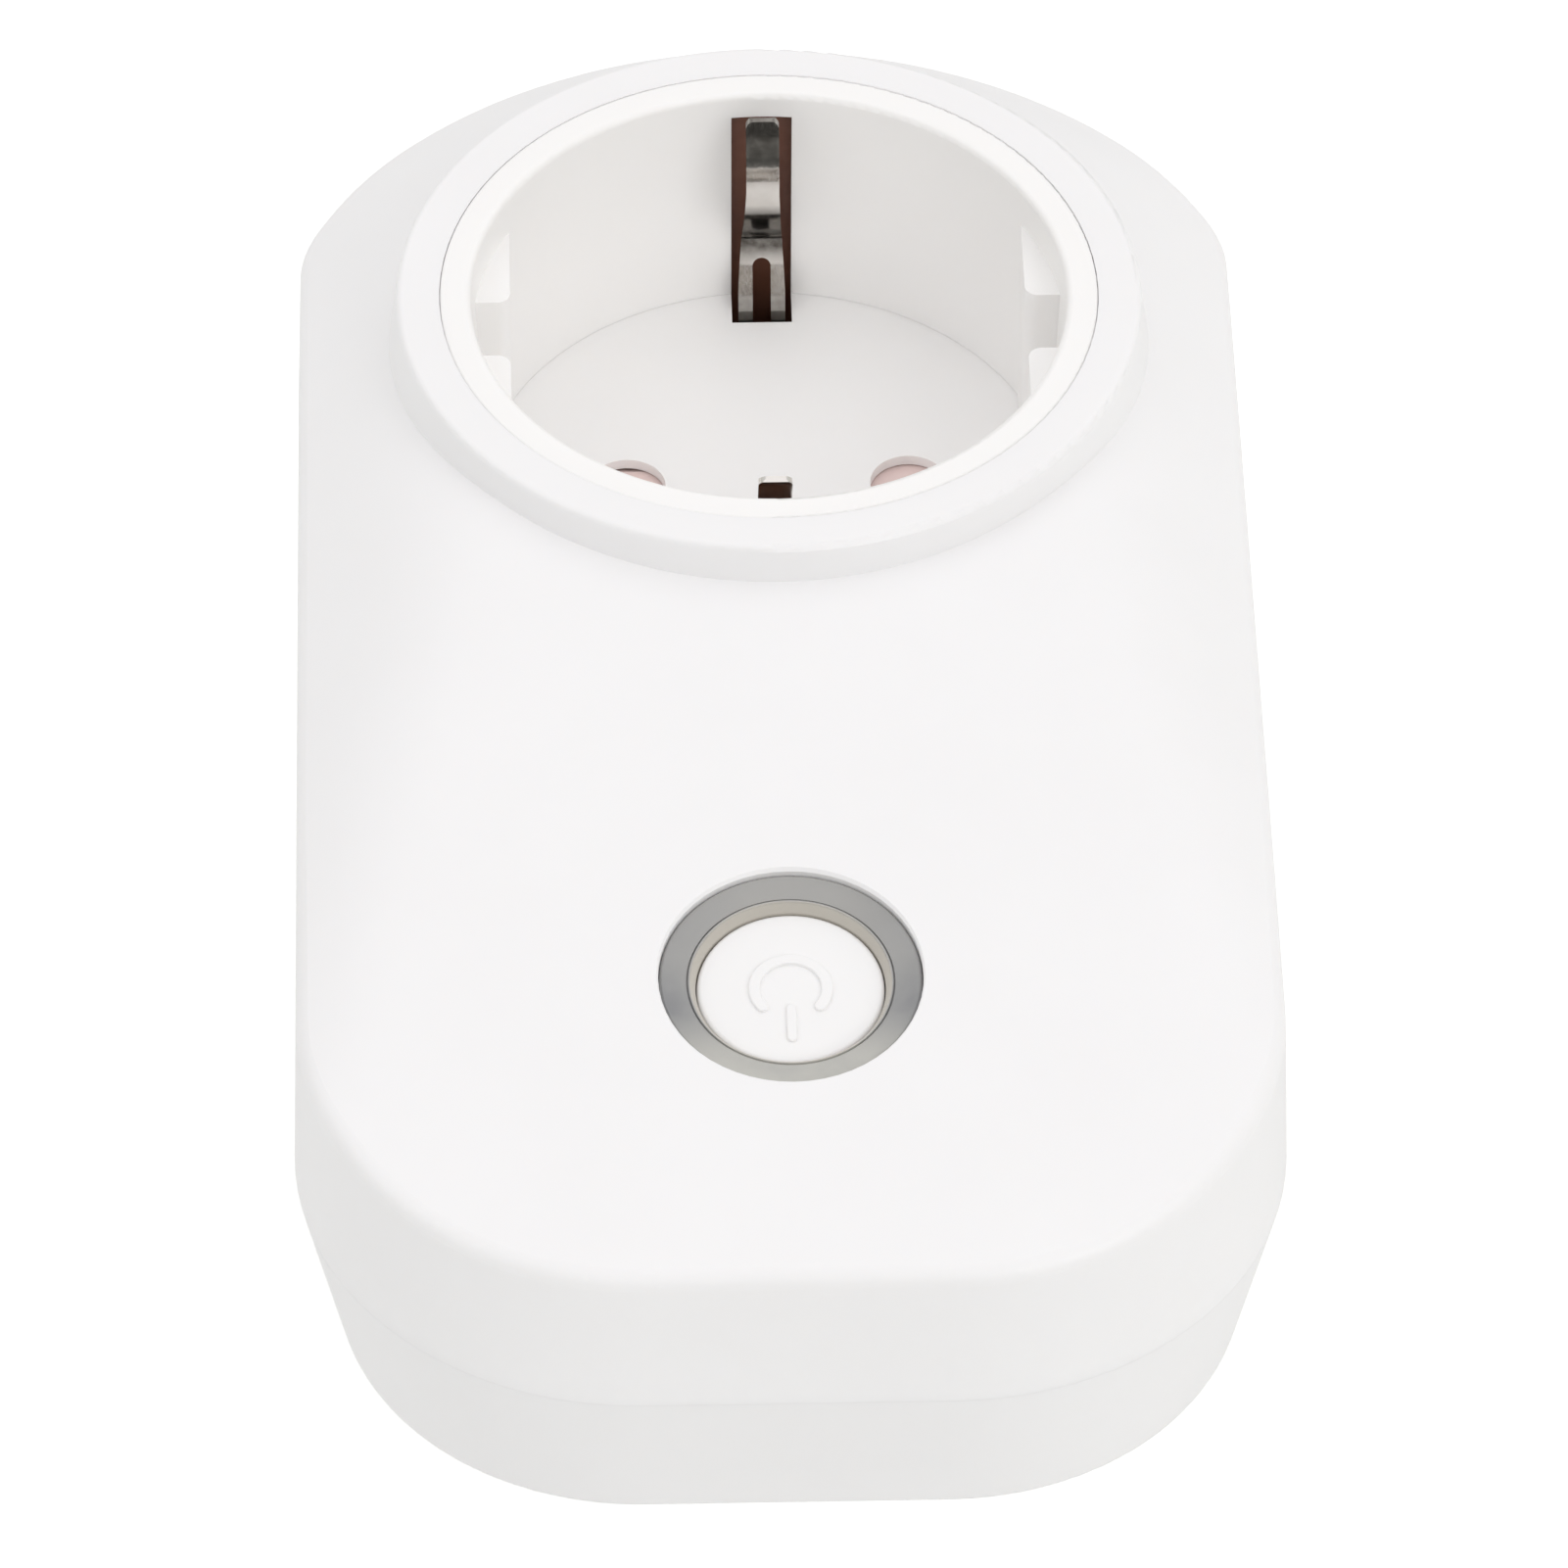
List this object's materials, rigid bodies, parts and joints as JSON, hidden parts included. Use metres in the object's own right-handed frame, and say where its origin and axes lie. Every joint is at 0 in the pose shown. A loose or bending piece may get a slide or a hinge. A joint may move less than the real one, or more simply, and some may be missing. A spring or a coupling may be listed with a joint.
{
  "type": "smart plug",
  "caption": "White plug-in adapter with an earthed round socket, a lit push button under it, two round pins behind and a switched supply board inside.",
  "frame": {"origin": "on the housing's flat back face, in the middle of its width and 45 mm below the shared axis of the socket and the plug", "axes": "+Z out of the wall towards the user, +Y from the button towards the socket end, +X to the user's right"},
  "size_m": [0.0636, 0.1156, 0.069],
  "materials": {
    "white_shell": "fine satin, warm white",
    "white_inlay": "satin white",
    "brown_liner": "matte brown insulation",
    "spring_steel": "nickel plated, bent edges bright",
    "plated_brass": "nickel-plated brass",
    "shutter_pink": "pale pink moulding",
    "frosted_grey": "frosted translucent grey",
    "button_white": "satin white",
    "black_block": "matte black carrier",
    "board_green": "solder-masked laminate",
    "chip_black": "moulded package",
    "relay_blue": "blue cover",
    "copper_wire": "enamelled copper",
    "ferrite": "dark ferrite",
    "can_sleeve": "shrink sleeve",
    "varistor_blue": "dipped epoxy",
    "resistor_body": "lacquered body",
    "shield_tin": "tinned shield",
    "wire_blue": "blue insulation",
    "wire_brown": "brown insulation",
    "led_white": "clear lens",
    "screw_steel": "zinc plated"
  },
  "bodies": {
    "housing": {"front_cover": "white_shell", "back_housing": "white_shell", "socket_inlay": "white_inlay", "socket_floor": "white_inlay", "slot_liners": "brown_liner", "shutter_spring": "spring_steel", "shutter_retainer": "white_inlay", "contact_block": "black_block", "live_contact": "plated_brass", "neutral_contact": "plated_brass", "live_pin": "plated_brass", "neutral_pin": "plated_brass", "live_pin_strip": "plated_brass", "plug_earth_strip_upper": "spring_steel", "plug_earth_strip_lower": "spring_steel", "earth_bridge": "plated_brass", "earth_pin_socket": "plated_brass", "light_ring": "frosted_grey", "main_board": "board_green", "tact_switch_body": "chip_black", "status_leds": "led_white", "relay_case": "relay_blue", "relay_base": "black_block", "relay_yoke": "screw_steel", "relay_coil": "copper_wire", "relay_contacts": "plated_brass", "transformer_core": "ferrite", "transformer_winding": "copper_wire", "input_capacitor": "can_sleeve", "output_capacitor": "can_sleeve", "varistor": "varistor_blue", "fuse_resistor": "resistor_body", "bridge_rectifier": "chip_black", "supply_chip": "chip_black", "wireless_board": "board_green", "wireless_shield": "shield_tin", "header_pins": "chip_black", "neutral_wire": "wire_blue", "load_wire": "wire_brown", "live_wire": "wire_brown", "housing_screws": "screw_steel", "board_screws": "screw_steel", "retainer_screws": "screw_steel"},
    "button": {"power_button": "button_white"},
    "switch_plunger": {"tact_switch_plunger": "button_white"},
    "shutter_rotor": {"shutter": "shutter_pink"},
    "upper_spring": {"earth_clip_upper": "spring_steel"},
    "lower_spring": {"earth_clip_lower": "spring_steel"},
    "armature": {"relay_armature": "screw_steel"}
  },
  "joints": [
    {"name": "button_press", "type": "slide", "parent": "housing", "child": "button", "axis": [0, 0.1184, -0.993], "range_m": [0, 0.0005]},
    {"name": "switch_press", "type": "slide", "parent": "housing", "child": "switch_plunger", "axis": [0, 0, -1], "range_m": [0, 0.0005]},
    {"name": "shutter_turn", "type": "hinge", "parent": "housing", "child": "shutter_rotor", "pos_m": [0, 0.045, 0.0133], "axis": [0, 0, 1], "range_deg": [0, 36]},
    {"name": "upper_spring_flex", "type": "hinge", "parent": "housing", "child": "upper_spring", "pos_m": [0, 0.06195, 0.0078], "axis": [-1, 0, 0], "range_deg": [0, 4]},
    {"name": "lower_spring_flex", "type": "hinge", "parent": "housing", "child": "lower_spring", "pos_m": [0, 0.02805, 0.0078], "axis": [1, 0, 0], "range_deg": [0, 4]},
    {"name": "armature_tilt", "type": "hinge", "parent": "housing", "child": "armature", "pos_m": [-0.0224, 0.00375, 0.01845], "axis": [0, 1, 0], "range_deg": [0, 1.6]}
  ],
  "couplings": [
    {"joint": "switch_press", "follows": "button_press", "ratio": 0.99297}
  ]
}
